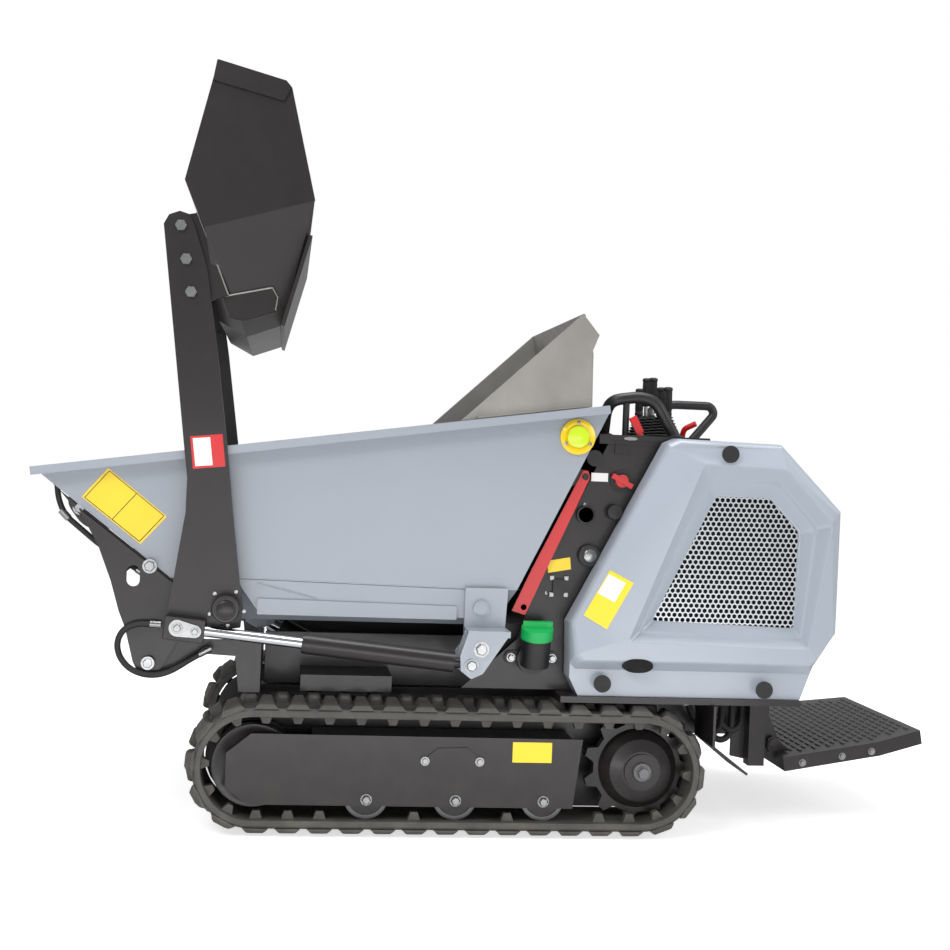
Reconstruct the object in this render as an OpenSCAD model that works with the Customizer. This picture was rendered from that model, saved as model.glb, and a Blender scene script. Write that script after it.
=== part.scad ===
// Tracked power wheelbarrow with a tipping skip, a self-loading shovel and a riding platform.
// Front (dumping end) is -X, the machine's left side is -Y, the ground is Z = 0.

/* [Tracks] */
// Outer face of each track from the middle
track_outer = 471; // [460:1:480]
// Width of each rubber belt
belt_w = 180; // [160:1:190]
// Drive sprocket centre, along X
sprocket_x = 325; // [320:1:330]
// Distance from the drive sprocket to the front idler
wheelbase = 885; // [870:1:900]
// Height of both wheel centres
axle_z = 152; // [150:1:154]
// Inner radius of the belt on its wheels
belt_in = 115; // [112:1:117]
// Belt thickness without the lugs
belt_t = 19; // [16:1:20]
// Height of the tread lugs
lug_h = 18; // [12:1:18]
// Number of lugs round the belt
links = 36; // [36:1:36]
// Teeth on the drive sprocket
teeth = 11; // [11:1:11]
// Radius of the bottom rollers
roller_r = 50; // [46:1:50]

/* [Skip] */
// Half width of the skip's side panels
skip_y = 374; // [370:1:376]
// Half width of the skip's floor
floor_y = 290; // [270:1:300]
// Sheet thickness of the skip
sheet = 5; // [4:1:8]
// Width of the rim flange
rim_w = 35; // [25:1:38]
// Depth of the rim flange
rim_h = 19; // [15:1:24]
// Tipping pivot, along X
tip_x = -802; // [-806:1:-798]
// Tipping pivot height
tip_z = 372; // [368:1:376]

/* [Loader] */
// Arm pivot, along X
arm_x = -632; // [-636:1:-628]
// Arm pivot height
arm_z = 504; // [500:1:508]
// Inner face of each arm from the middle
arm_y = 413; // [412:1:414]
// Thickness of the arm plates
arm_t = 14; // [10:1:16]
// Lift cylinder barrel radius
barrel_r = 23; // [20:1:23]
// Lift cylinder rod radius
rod_r = 12.5; // [11:0.5:14]

/* [Body] */
// Outer face of the hood from the middle
hood_y = 455; // [445:1:460]
// Wall of the hood
hood_wall = 6; // [4:1:8]
// Outer face of the console panels from the middle
console_y = 345; // [340:1:347]
// Top of the console
console_top = 925; // [920:1:930]
// Half width of the riding platform
platform_y = 310; // [290:1:320]

/* [Hidden] */

$fn = 48;
eps = 0.05;
gap = 0.3;

// Colours
steel_black = [0.17, 0.16, 0.16];
light_blue = [0.69, 0.73, 0.78];
rubber = [0.14, 0.13, 0.13];
zinc = [0.75, 0.75, 0.74];
chrome = [0.85, 0.86, 0.88];
red = [0.78, 0.08, 0.1];
green = [0.1, 0.62, 0.3];

// Belt path
idler_x = sprocket_x - wheelbase;
pitch = 2 * wheelbase / (links - teeth);
pitch_r = teeth * pitch / (2 * PI);
loop_len = 2 * wheelbase + 2 * PI * pitch_r;
belt_out = belt_in + belt_t;
lug_r = belt_out + lug_h;
belt_y = track_outer - belt_w / 2;
roller_z = axle_z - belt_in + roller_r + gap;
roller_xs = [-306, -105, 96];

// Lift cylinder
crank_x = -737;
crank_z = 459;
lift_x = -82;
lift_z = 392;
lift_y = 452;
lift_len = norm([crank_x - lift_x, crank_z - lift_z]);
lift_pitch = atan2(crank_z - lift_z, lift_x - crank_x);
lift_barrel_len = 378;

// Tipping cylinder
ram_x = -180;
ram_z = 240;
ram_top_x = -560;
ram_top_z = 435;
ram_len = norm([ram_top_x - ram_x, ram_top_z - ram_z]);
ram_pitch = atan2(ram_top_z - ram_z, ram_x - ram_top_x);

// Riding platform
fold_x = 700;
fold_z = 186;
slope = 9.9;

// Levers: across the machine, and the height of each top
lever_x = 412;
lever_ys = [110, 32, -40, -128, -200];
lever_tops = [1058, 1082, 1080, 1052, 1050];
lever_base = 940;

// Draws the 2-D children in the XZ plane, from y0 to y1
module xz(y0, y1) {
    translate([0, y1, 0]) rotate([90, 0, 0]) linear_extrude(y1 - y0) children();
}

// A round bar along Y
module ybar(x, z, y0, y1, r, sides = 48) {
    translate([x, y1, z]) rotate([90, 0, 0]) cylinder(r = r, h = y1 - y0, $fn = sides);
}

// A box given by its low and high corners
module box(low, high) {
    translate(low) cube(high - low);
}

// Draws a left-hand child on the machine's left (-1) or right (1)
module on(side) {
    mirror([0, side > 0 ? 1 : 0, 0]) children();
}

module both() {
    on(-1) children();
    on(1) children();
}

// A hex head along Y with its outer face at y
module hex_head(x, z, y, r = 9, h = 7) {
    ybar(x, z, y, y + h, r, 6);
}

// Point on the belt loop, s along the pitch line and off outwards from the wheel centres
function belt_point(s, off) =
    let (t = s % loop_len, half = PI * pitch_r)
    t < wheelbase ? [sprocket_x - t, axle_z - off]
    : t < wheelbase + half ? let (a = 270 - (t - wheelbase) / pitch_r * 180 / PI)
        [idler_x + off * cos(a), axle_z + off * sin(a)]
    : t < 2 * wheelbase + half ? [idler_x + t - wheelbase - half, axle_z + off]
    : let (a = 90 - (t - 2 * wheelbase - half) / pitch_r * 180 / PI)
        [sprocket_x + off * cos(a), axle_z + off * sin(a)];

// Outline of the belt with lugs, shifted along the belt by part of a pitch
function lug_outline(shift) = [for (i = [0:links - 1], c = [[0.12, 0], [0.2, 1], [0.52, 1], [0.6, 0]])
    belt_point((i + c[0] + shift) * pitch, belt_out + c[1] * lug_h)];

module loop(r) {
    for (x = [idler_x, sprocket_x]) translate([x, axle_z]) circle(r = r, $fn = 96);
    translate([idler_x, axle_z - r]) square([wheelbase, 2 * r]);
}

// Rubber belt: staggered lugs on its two halves, with a sprocket groove down the middle inside
module track_belt() {
    groove = 20;
    color(rubber) difference() {
        union() {
            xz(-track_outer, -belt_y) polygon(lug_outline(0));
            xz(-belt_y, -track_outer + belt_w) polygon(lug_outline(0.5));
        }
        xz(-track_outer - 1, -track_outer + belt_w + 1) loop(belt_in);
        xz(-belt_y - groove, -belt_y + groove) loop(belt_in + 14);
    }
}

// Beam inside the belt loop that carries the rollers, with its inner and outer side plates
module track_frame() {
    color(steel_black) union() {
        box([-430, -443, 146], [165, -320, 222]);
        difference() {
            xz(-325, -319) polygon([[-600, 120], [-560, 75], [160, 75], [175, 222], [-600, 222]]);
            for (x = roller_xs) ybar(x, roller_z, -330, -310, 12.05);
            ybar(idler_x, axle_z, -330, -310, 15.05);
        }
        for (x = roller_xs) ybar(x, roller_z, -449 + gap, -319, 12);
        ybar(idler_x, axle_z, -449 + gap, -319, 15);
    }
}

cover_outline = [[-566, 228], [183, 226], [164, 68], [-572, 70], [-620, 111], [-620, 184]];

// Outer cover of the track frame with its inspection plate and bolts
module track_cover() {
    color(steel_black) union() {
        difference() {
            xz(-455, -449) polygon(cover_outline);
            xz(-456, -448) polygon([[-185, 173], [-148, 202], [-81, 204], [-46, 173], [-80, 143], [-145, 143]]);
        }
        xz(-455 - 4, -449) polygon([[-185.2, 173], [-148, 202.2], [-81, 204.2], [-45.8, 173],
            [-80, 142.8], [-145, 142.8]]);
    }
    color(zinc) {
        for (x = roller_xs) hex_head(x, roller_z - 3, -463, 11, 8);
        for (x = [-177, -53]) hex_head(x, 173, -464, 5, 5);
    }
}

// Toothed drive sprocket with its dome, shaft and castle nut
module sprocket() {
    tip = belt_in + 11;
    root = belt_in - 11;
    outline = [for (i = [0:teeth - 1], c = [[-0.30, root], [-0.13, tip], [0.13, tip], [0.30, root]])
        let (a = (i + c[0]) * 360 / teeth) [sprocket_x + c[1] * cos(a), axle_z + c[1] * sin(a)]];
    color(steel_black) {
        xz(-belt_y - 14, -belt_y + 14) polygon(outline);
        translate([sprocket_x, -belt_y - 14, axle_z]) rotate([90, 0, 0]) rotate_extrude($fn = 72)
            polygon([[0, 0], [92, 0], [88, 16], [72, 34], [45, 44], [40, 44], [40, 50], [0, 50]]);
        ybar(sprocket_x, axle_z, -belt_y + 14, -300, 18);
    }
    color(zinc) {
        ybar(sprocket_x, axle_z, -belt_y - 76, -belt_y - 64, 13);
        ybar(sprocket_x, axle_z, -belt_y - 72, -belt_y - 64, 22, 6);
    }
}

module idler() {
    color(steel_black) difference() {
        union() {
            ybar(idler_x, axle_z, -430, -400, belt_in - gap, 96);
            ybar(idler_x, axle_z, -362, -332, belt_in - gap, 96);
            ybar(idler_x, axle_z, -405, -355, 70);
            ybar(idler_x, axle_z, -446, -328, 34);
        }
        ybar(idler_x, axle_z, -460, -300, 15.06);
    }
}

module roller(x) {
    color(steel_black) difference() {
        union() {
            ybar(x, roller_z, -441, -408, roller_r);
            ybar(x, roller_z, -354, -328, roller_r);
            ybar(x, roller_z, -410, -352, 28);
        }
        ybar(x, roller_z, -460, -300, 12.06);
    }
}

// Two box beams, cross members, tipping nose plates, posts and platform cross bar
module chassis_frame() {
    color(steel_black) {
        for (s = [-1, 1]) on(s) {
            box([-560, -200, 200], [700, -150, 300]);
            for (x = [-350, 60]) box([x, -319, 152], [x + 60, -150, 206]);
            difference() {
                xz(-370, -355) polygon([[-552, 307], [-552, 424], [-767, 424], [-802, 402], [-826, 390],
                    [-832, 372], [-822, 350], [-790, 344], [-745, 352], [-690, 392], [-610, 388], [-600, 307]]);
                ybar(tip_x, tip_z, -380, -350, 15.1);
            }
            box([-566, -372, 307], [-552, -284, 421]);
            box([-566, -286, 290], [-552, -60, 421]);
            ybar(tip_x, tip_z, -395, -340, 15);
            hex_head(tip_x, tip_z, -401, 15, 6);
            box([-460, -285, 296], [-250, -160, 345]);
            box([-460, -340, 308], [-250, -284, 345]);
        }
        box([640, -200, 200], [690, 200, 300]);
        difference() {
            box([-210, -150, 212], [-150, 150, 270]);
            box([-240, -34, 190], [-120, 34, 290]);
        }
        ybar(ram_x, ram_z, -40, 40, 12);
    }
}

module base_plate() {
    color(steel_black) difference() {
        box([130, -440, 308], [697, 440, 322]);
        box([200, -120, 300], [600, 120, 330]);
    }
}

// Hydraulic drive motor with its bearing bore and mounting bracket
module drive_motor() {
    color([0.3, 0.3, 0.31]) difference() {
        union() {
            ybar(sprocket_x, axle_z, -352, -215, 72);
            ybar(sprocket_x, axle_z, -215, -150, 48);
        }
        ybar(sprocket_x, axle_z, -360, -290, 18.06);
    }
    color(steel_black) difference() {
        box([235, -214, 80], [415, -200.2, 300]);
        ybar(sprocket_x, axle_z, -240, -190, 72.2);
    }
}

panel = [[-88, 323], [40, 440], [78, 560], [245, console_top - 6], [480, console_top - 6], [480, 323]];

module console_panels() {
    color(steel_black) {
        both() difference() {
            xz(-console_y, -console_y + 5) polygon(panel);
            ybar(271, 817, -console_y - 2, -console_y + 10, 5.1);
            ybar(188, 735, -console_y - 2, -console_y + 10, 18);
        }
        translate([-40, -console_y + 5, 322]) box([0, 0, 0], [5, 2 * console_y - 10, 60]);
        difference() {
            box([475, -console_y + 5, 323], [480, console_y - 5, console_top - 6]);
            box([470, -212, 322], [485, 165, 790]);
        }
    }
}

module console_deck() {
    color(steel_black) difference() {
        union() {
            box([215, -console_y - 8, console_top - 6], [480, console_y + 8, console_top]);
            both() box([215, -console_y - 8, console_top - 22], [480, -console_y - 3, console_top - 6]);
        }
        box([lever_x - 35, -235, console_top - 30], [lever_x + 35, 145, console_top + 5]);
        box([240, -console_y - 20, console_top - 40], [500, -console_y - 3.1, console_top - 12]);
        box([240, console_y + 3.1, console_top - 40], [500, console_y + 20, console_top - 12]);
    }
}

// Socket, ignition switch, indicators and buttons on the left console panel
module console_fittings() {
    y = -console_y;
    color([0.12, 0.12, 0.12]) {
        difference() {
            ybar(188, 735, y - 12, y + 8, 17.8);
            ybar(188, 735, y - 14, y - 2, 12);
        }
        ybar(255, 744, y - 20, y - gap, 15);
        ybar(206, 868, y - 8, y - gap, 19);
        box([118, y - 9, 549], [146, y - gap, 582]);
        box([253, y - 5, 882], [288, y - gap, 902]);
    }
    color(zinc) {
        ybar(201, 640, y - 12, y - gap, 21);
        difference() {
            ybar(271, 817, y - 4, y - gap, 26);
            ybar(271, 817, y - 6, y + 2, 5.1);
        }
    }
}

hood_outline = [[147, 489], [150, 364], [172, 322.5], [698, 322.5], [731, 416], [783, 478], [784, 765],
    [634, 916], [388, 921], [363, 910]];

module hood_opening() {
    polygon([[488, 784], [611, 784], [680, 710], [677, 494], [352, 503]]);
}

// Moulded side shell of the hood, open towards the middle of the machine
module hood_side() {
    mid = [465, 600];
    k = 1 - hood_wall / 300;
    color(light_blue) difference() {
        union() {
            xz(-hood_y + 22, -150) polygon(hood_outline);
            xz(-hood_y, -hood_y + 22) translate(mid) scale(0.965) translate(-mid) polygon(hood_outline);
        }
        xz(-hood_y + hood_wall, -149) translate(mid) scale(k * 0.965) translate(-mid) polygon(hood_outline);
        xz(-console_y - 12, -100) polygon([[100, 310], [100, 920], [486, 940], [486, 310]]);
        xz(-hood_y - 2, -hood_y + 40) hood_opening();
        box([200, -440, 300], [700, -140, 330]);
        translate([318, -hood_y, 395]) rotate([90, 0, 0]) cylinder(r = 16, h = 40, center = true);
    }
}

module hood_rear_cover() {
    color(light_blue) difference() {
        xz(-150 + gap, 150 - gap) polygon([[486.5, 919], [634, 916], [784, 765], [783, 478], [731, 416],
            [698, 322.5], [688, 322.5], [721, 421], [773, 482], [774, 761], [630, 906], [486.5, 909]]);
    }
}

// Mesh panels that close the openings in the hood sides
module hood_grilles() {
    color([0.8, 0.82, 0.84]) both() xz(-hood_y + hood_wall + 4, -hood_y + hood_wall + 7)
        polygon([[484, 790], [614, 790], [686, 713], [683, 488], [341, 497]]);
}

module rubber_plugs() {
    color([0.08, 0.08, 0.08]) both() for (p = [[501, 889], [222, 355], [603, 348]])
        ybar(p[0], p[1], -hood_y - 5, -hood_y - gap, 20);
}

module engine() {
    color([0.35, 0.35, 0.36]) {
        box([420, -120, 323], [620, 120, 470]);
        box([450, -90, 470], [590, 60, 640]);
        for (z = [490:20:620]) box([430, -105, z], [610, 75, z + 6]);
        ybar(520, 420, -200, -120, 79);
        box([470, 60, 500], [570, 150, 600]);
    }
    color([0.5, 0.48, 0.45]) {
        ybar(542, 720, -160, 160, 60);
        box([500, -40, 639], [530, 0, 670]);
        ybar(540, 720, -200, -160, 18);
    }
}

// Hose on each side that loops round the tipping pivot, from the sub-frame to the chassis nose
hose_route = [[-776, -401, 459], [-800, -402, 460], [-826, -404, 459], [-848, -406, 449], [-860, -408, 430],
    [-861, -409, 408], [-851, -409, 384], [-832, -409, 366], [-808, -409, 355], [-782, -409, 354],
    [-756, -408, 361], [-732, -406, 372], [-710, -404, 384], [-688, -402, 396], [-668, -400, 407]];

module loop_hoses() {
    color(rubber) both() tube_path(hose_route, 6.5, 10);
}

module hydraulic_tank() {
    color(steel_black) {
        box([42, 30, 326], [186, 320, 520]);
        ybar(80, 555, 90, 150, 20);
        translate([80, 200, 520]) cylinder(r = 28, h = 30);
    }
}

module fuel_tank() {
    color([0.1, 0.1, 0.1]) box([0, -300, 326], [180, 10, 470]);
}

module battery() {
    color([0.1, 0.1, 0.11]) {
        box([250, -300, 600], [430, -180, 780]);
        for (y = [-280, -200]) translate([340, y, 780]) cylinder(r = 9, h = 16);
    }
}

// Filler pipe through the left console panel with its oval flange
module fuel_filler_neck() {
    y = -console_y;
    color([0.08, 0.08, 0.08]) {
        difference() {
            union() {
                for (x = [25, 122]) ybar(x, 397, y - 8, y - gap, 16);
                box([25, y - 8, 381], [122, y - gap, 413]);
                ybar(73, 397, y - 34, y - gap, 36);
            }
        }
        translate([76, y - 40, 385]) rotate([14, 0, 0]) cylinder(r = 33, h = 66);
    }
    color(zinc) for (x = [25, 122]) hex_head(x, 397, y - 14, 8, 6);
}

function unit(v) = v / norm(v);

// Sweeps a round bar of radius r through a list of points, none of whose runs is along Y
module tube_path(points, r, sides = 12) {
    last = len(points) - 1;
    rings = [for (i = [0:last])
        let (t = unit(points[min(i + 1, last)] - points[max(i - 1, 0)]),
            u = unit(cross(t, [0, 1, 0])), v = cross(t, u))
        for (k = [0:sides - 1]) points[i] + r * (cos(k * 360 / sides) * u + sin(k * 360 / sides) * v)];
    walls = [for (i = [0:last - 1], k = [0:sides - 1])
        [(i + 1) * sides + k, (i + 1) * sides + (k + 1) % sides, i * sides + (k + 1) % sides, i * sides + k]];
    polyhedron(rings, concat(walls, [[for (k = [0:sides - 1]) k], [for (k = [sides - 1:-1:0]) last * sides + k]]));
}

// Rounds the corners of a path with arcs of radius about bend
function rounded(points, bend, steps = 5) = [
    points[0],
    for (i = [1:len(points) - 2])
        let (a = points[i] + bend * unit(points[i - 1] - points[i]),
            b = points[i] + bend * unit(points[i + 1] - points[i]))
        for (k = [0:steps]) let (t = k / steps)
            (1 - t) * (1 - t) * a + 2 * t * (1 - t) * points[i] + t * t * b,
    points[len(points) - 1]];

module handlebars() {
    deck = console_top + gap;
    color([0.1, 0.1, 0.1]) {
        tube_path(rounded([[403.6, -300, deck + 7.5], [358, -300, 1008], [318, -300, 1018], [256, -300, 1008],
            [246, -264, 985], [246, -240, deck + 5.6]], 15), 14);
        translate([287, -300, deck]) cylinder(r = 8, h = 84);
        tube_path(rounded([[612.2, 300, 933.8], [670, 300, 1004], [658, 300, 1026], [548, 300, 1026], [490, 300, 1012],
            [467, 300, 929.6]], 12), 12);
    }
    color(steel_black) box([480.6, 284, 919], [622, 316, 925.5]);
}

// Bellows under each lever, open down the middle
module lever_boots() {
    color([0.09, 0.09, 0.09]) for (y = lever_ys) translate([lever_x, y, console_top]) difference() {
        union() {
            for (i = [0:3]) translate([0, 0, i * 4]) cylinder(r = 33 - 4 * i, h = 4 + eps);
            translate([0, 0, -10]) cylinder(r = 25, h = 10 + eps);
        }
        translate([0, 0, -20]) cylinder(r1 = 12, r2 = 18, h = 60);
    }
    color(steel_black) for (y = lever_ys) translate([lever_x, y, console_top - 26])
        box([-34, -14, -8], [34, 14, -1]);
}

module lever(i) {
    y = lever_ys[i];
    top = lever_tops[i];
    color(zinc) translate([lever_x, y, console_top - 26]) cylinder(r = 5, h = top - console_top - 20);
    color([0.07, 0.07, 0.07]) translate([lever_x, y, top - 72]) cylinder(r = 10.5, h = 72);
}

// Posts and ears that carry the folding platform, and a scraper behind each sprocket
module platform_brackets() {
    color(steel_black) {
        both() {
            box([632, -262, 134], [672, -222, 307.7]);
            difference() {
                xz(-222 + gap, -210) polygon([[600, 150], [600, 300], [672, 300], [716, 200], [716, 174], [699, 172], [680, 134]]);
                ybar(fold_x, fold_z, -240, -200, 10.06);
            }
            box([632, -200.2, 150], [672, -160, 200]);
            box([632, -222, 150], [672, -200, 190]);
            box([485, -460, 215], [491, -300, 307.7]);
            xz(-460, -300) polygon([[485, 215], [491, 215], [572, 154], [568, 150]]);
        }
    }
}

module platform() {
    tread_z = 162;
    color(steel_black) {
        difference() {
            translate([690, 0, tread_z]) rotate([0, -slope, 0]) difference() {
                translate([0, 0, -34]) linear_extrude(34) polygon([[14, -platform_y], [255, -platform_y],
                    [382.5, -262], [382.5, 262], [255, platform_y], [14, platform_y]]);
                translate([0, 0, -60]) linear_extrude(56) polygon([[20, -platform_y + 6], [253, -platform_y + 6],
                    [376.5, -257], [376.5, 257], [253, platform_y - 6], [20, platform_y - 6]]);
            }
        }
        both() difference() {
            xz(-238, -224 - gap) polygon([[688, 172], [688, 196], [700, 202], [712, 196], [742, 168],
                [742, 150], [700, 150]]);
            ybar(fold_x, fold_z, -250, -200, 10);
        }
        both() ybar(fold_x, fold_z, -244, -206, 10);
    }
}

// Skip tub: outer and inner skins between the rim and the floor
module tub_skin(t) {
    pts = [[-1055, 788, skip_y], [232, 975, skip_y], [30, 556, skip_y], [-760, 562, skip_y],
        [-633, 465, floor_y], [-14, 465, floor_y]];
    mid = [-420, 700];
    hull() for (p = pts, s = [-1, 1])
        translate([p[0] + t * sign(mid[0] - p[0]) * 1.4, s * (p[2] - t), p[1] + (p[1] < 600 ? t : 12 * t / 4)])
        cube(0.02, center = true);
}

rim_pts = [[-1072.8, 802], [225, 991]];
rim_slope = atan2(rim_pts[1][1] - rim_pts[0][1], rim_pts[1][0] - rim_pts[0][0]);
rim_len = norm(rim_pts[1] - rim_pts[0]);

module skip_tub() {
    color(light_blue) union() {
        difference() {
            tub_skin(0);
            tub_skin(sheet);
        }
        translate([rim_pts[0][0], 0, rim_pts[0][1]]) rotate([0, -rim_slope, 0]) difference() {
            translate([0, -skip_y - rim_w, -rim_h]) cube([rim_len, 2 * (skip_y + rim_w), rim_h]);
            translate([26, -skip_y + sheet, -50]) cube([rim_len - 46, 2 * (skip_y - sheet), 100]);
        }
    }
}

// Raised side gussets and back board on the rear of the skip
module skip_extension() {
    color([0.66, 0.66, 0.66]) {
        both() xz(-skip_y, -skip_y + 4) polygon([[-116, 942], [161, 1202], [201, 1154], [184, 1111],
            [187, 986]]);
        both() xz(-skip_y - 12, -skip_y - gap) polygon([[-80, 949], [187, 988], [187, 992], [-80, 954]]);
    }
    color(light_blue) xz(-skip_y + 4, skip_y - 4) polygon([[161, 1202], [166, 1202], [189, 1111], [191, 987],
        [184, 987], [182, 1108]]);
}

// Bent stiffening bars along the lower sides and the brackets for the lift cylinders
module skip_brackets() {
    color(light_blue) {
        both() {
            xz(-386, -379) polygon([[-564, 486], [-564, 522], [-110, 516], [-110, 485]]);
            xz(-379, -319) polygon([[-560, 486], [-560, 492], [-114, 491], [-114, 485]]);
            difference() {
                union() {
                    xz(-393, -381) polygon([[-92, 560], [-92, 440], [-110, 415], [-108, 380], [-82, 362],
                        [-56, 374], [2, 462], [7, 560]]);
                    xz(-430, -420) polygon([[-92, 470], [-110, 415], [-108, 380], [-82, 362],
                        [-56, 374], [2, 462]]);
                    xz(-476, -468) polygon([[-90, 470], [-108, 415], [-106, 380], [-82, 362],
                        [-56, 374], [2, 462], [4, 470]]);
                    box([-92, -476, 456], [4, -374.5, 470]);
                    box([-92, -393, 470], [-80, -374.5, 556]);
                    box([-10, -393, 470], [2, -374.5, 556]);
                }
                ybar(lift_x, lift_z, -480, -370, 15.05);
            }
        }
    }
    color(zinc) both() {
        ybar(lift_x, lift_z, -482, -375, 15);
        hex_head(-61, 429, -483, 13, 7);
        ybar(-54, 514, -402, -393, 15);
    }
    color(steel_black) {
        for (y = [-30, 18]) xz(y, y + 12) difference() {
            polygon([[-600, 464.7], [-596, 430], [-560, 410], [-524, 430], [-520, 464.7]]);
            translate([ram_top_x, ram_top_z]) circle(r = 12.05);
        }
        ybar(ram_top_x, ram_top_z, -34, -18, 12);
        ybar(ram_top_x, ram_top_z, 18, 34, 12);
    }
}

// Black plates under the skip's nose that carry the tipping pivot and the arm pivots
module loader_subframe() {
    color(steel_black) {
        both() {
            difference() {
                union() {
                    xz(-388, -376) polygon([[-966, 712], [-920, 629], [-891, 554], [-871, 486], [-856, 449],
                        [-836, 372], [-822, 346], [-782, 346], [-766, 372], [-740, 420], [-690, 440],
                        [-600, 455], [-596, 500], [-604, 548], [-680, 548], [-752, 550]]);
                    ybar(arm_x, arm_z, -400, -376, 34);
                    ybar(arm_x, arm_z, -412, -376, 26);
                }
                ybar(tip_x, tip_z, -400, -370, 15.06);
                translate([0, -370, 0]) xz(-30, 10) hull() for (z = [556, 574]) translate([-842, z])
                    circle(r = 15, $fn = 32);
            }
            ybar(arm_x, arm_z, -466, -411, 16);
        }
        ybar(-872, 585, -377, 377, 18);
        ybar(-735, 462, -377, 377, 16);
    }
    color(zinc) both() {
        ybar(arm_x, arm_z, -472, -466, 19);
        hex_head(-842 + 36, 588, -396, 10, 8);
    }
}

// Round markers on the rear corners of the skip
module skip_reflectors() {
    color([0.95, 0.8, 0.05]) both() translate([158, -skip_y - gap, 916]) rotate([90, 0, 0])
        rotate_extrude($fn = 72) polygon([[0, 0], [41, 0], [41, 7], [34, 11], [25, 9], [0, 14]]);
}

module safety_prop() {
    color(red) difference() {
        xz(-356, -351) polygon([[22, 506], [54, 497], [99, 602], [195, 822], [190, 838], [178, 838], [64, 601]]);
        ybar(184, 824, -360, -345, 6);
        ybar(50, 515, -360, -345, 7);
    }
}

arm_outline = [[-799, 1350], [-788, 1371], [-765, 1380], [-744, 1374], [-732, 1352], [-701, 1257],
    [-677, 1112], [-644, 876], [-622, 694], [-602, 542], [-596, 500], [-612, 472], [-650, 464],
    [-700, 440], [-722, 428], [-752, 428], [-768, 448], [-760, 496], [-729, 713], [-728, 790],
    [-737, 857]];

// Two flat arms joined by a cross tube, pivoting on the sub-frame's stubs
module loader_arms() {
    color(steel_black) {
        both() difference() {
            union() {
                xz(-arm_y - arm_t, -arm_y) polygon(arm_outline);
                ybar(arm_x, arm_z, -465, -arm_y, 29);
            }
            ybar(arm_x, arm_z, -480, -400, 16.06);
        }
        ybar(-752, 1262, -arm_y - eps, arm_y + eps, 24);
    }
}

// Half widths of the shovel at its mouth and at its back, and its sheet
mouth_y = 438;
back_y = 372;
shovel_t = 6;
mouth_outline = [[-692, 1717], [-756, 1448], [-710, 1345], [-468, 1418], [-528, 1665], [-541, 1680]];
mouth_inner = [[-683, 1745], [-749, 1449], [-704.5, 1346], [-440, 1425], [-440, 1745]];

// Back of the shovel, which narrows towards the arms, as one block t inside its outer faces
module shovel_back(t) {
    up = t > 0 ? 4 : 1.5;
    hull() for (s = [-1, 1], p = [[-709 + t, 1345 + up, mouth_y - 0.3], [-469 - t, 1418 + up, mouth_y - 0.3],
        [-476 - t, 1352, back_y + 46], [-532 - t, 1141 + t, back_y], [-610, 1112 + t, back_y],
        [-672 + t, 1144 + t, back_y]])
        translate([p[0], s * (p[2] - t), p[1]]) cube(0.02, center = true);
}

// Open shovel: tapered towards the arms, with a reinforced mouth and a lip across its top plate
module bucket() {
    color(steel_black) {
        difference() {
            union() {
                xz(-mouth_y, mouth_y) polygon(mouth_outline);
                shovel_back(0);
            }
            xz(-mouth_y + shovel_t, mouth_y - shovel_t) polygon(mouth_inner);
            shovel_back(shovel_t);
        }
        both() xz(-mouth_y - 7, -mouth_y + 1) polygon([[-694, 1715], [-702, 1670], [-545, 1633],
            [-530, 1664], [-543, 1678]]);
        xz(-mouth_y - 3, mouth_y + 3) polygon([[-479, 1341], [-471, 1339], [-526, 1134], [-534, 1138]]);
        both() {
            difference() {
                xz(-arm_y + gap, -arm_y + 12) polygon([[-772, 1300], [-755, 1374], [-726, 1380], [-652, 1200],
                    [-735, 1170]]);
                ybar(-752, 1262, -arm_y - 10, -arm_y + 30, 24.3);
            }
            xz(-402, -381) polygon([[-665, 1196], [-555, 1222], [-542, 1201], [-546, 1172], [-616, 1147],
                [-650, 1152]]);
        }
    }
}

module bucket_bolts() {
    color(zinc) both() for (p = [[-761, 1348], [-747, 1274], [-734, 1202]])
        hex_head(p[0], p[1], -arm_y - arm_t - 8, 13, 8);
}

// Lift cylinder in its own line: x from the barrel pin towards the rod end
module along_lift() {
    translate([lift_x, -lift_y, lift_z]) rotate([0, lift_pitch, 0]) mirror([1, 0, 0]) children();
}

module xcyl(x0, x1, r, sides = 48) {
    translate([x0, 0, 0]) rotate([0, 90, 0]) cylinder(r = r, h = x1 - x0, $fn = sides);
}

module lift_barrel() {
    color(steel_black) along_lift() difference() {
        union() {
            xcyl(38, lift_barrel_len, barrel_r);
            xcyl(20, 39, 12);
            xcyl(lift_barrel_len - 22, lift_barrel_len + 4, barrel_r - 2);
            translate([0, 14, 0]) rotate([90, 0, 0]) cylinder(r = 24, h = 28);
        }
        xcyl(46, lift_barrel_len - 20, 18);
        xcyl(46, lift_barrel_len + 10, rod_r + 0.06);
        translate([0, 40, 0]) rotate([90, 0, 0]) cylinder(r = 15.06, h = 80);
    }
}

module lift_rod() {
    color(chrome) along_lift() {
        xcyl(lift_len - 440, lift_len - 60, rod_r);
        xcyl(lift_len - 440, lift_len - 412, 17.9);
    }
    color(steel_black) along_lift() translate([lift_len - 61, -22, -25]) cube([89, 44, 51]);
    color(zinc) along_lift() {
        translate([lift_len, -22 + eps, 0]) rotate([90, 0, 0]) cylinder(r = 18, h = 5);
        translate([lift_len - 41, -22 + eps, 3]) rotate([90, 0, 0]) cylinder(r = 14, h = 5);
        translate([lift_len - 41, -27, -11]) cube([41, 5, 26]);
        for (p = [[0, 0, 12], [-41, 3, 11]]) translate([lift_len + p[0], -27 + eps, p[1]]) rotate([90, 0, 0])
            cylinder(r = p[2], h = 7, $fn = 6);
    }
}

module along_ram() {
    translate([ram_x, 0, ram_z]) rotate([0, ram_pitch, 0]) mirror([1, 0, 0]) children();
}

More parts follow.
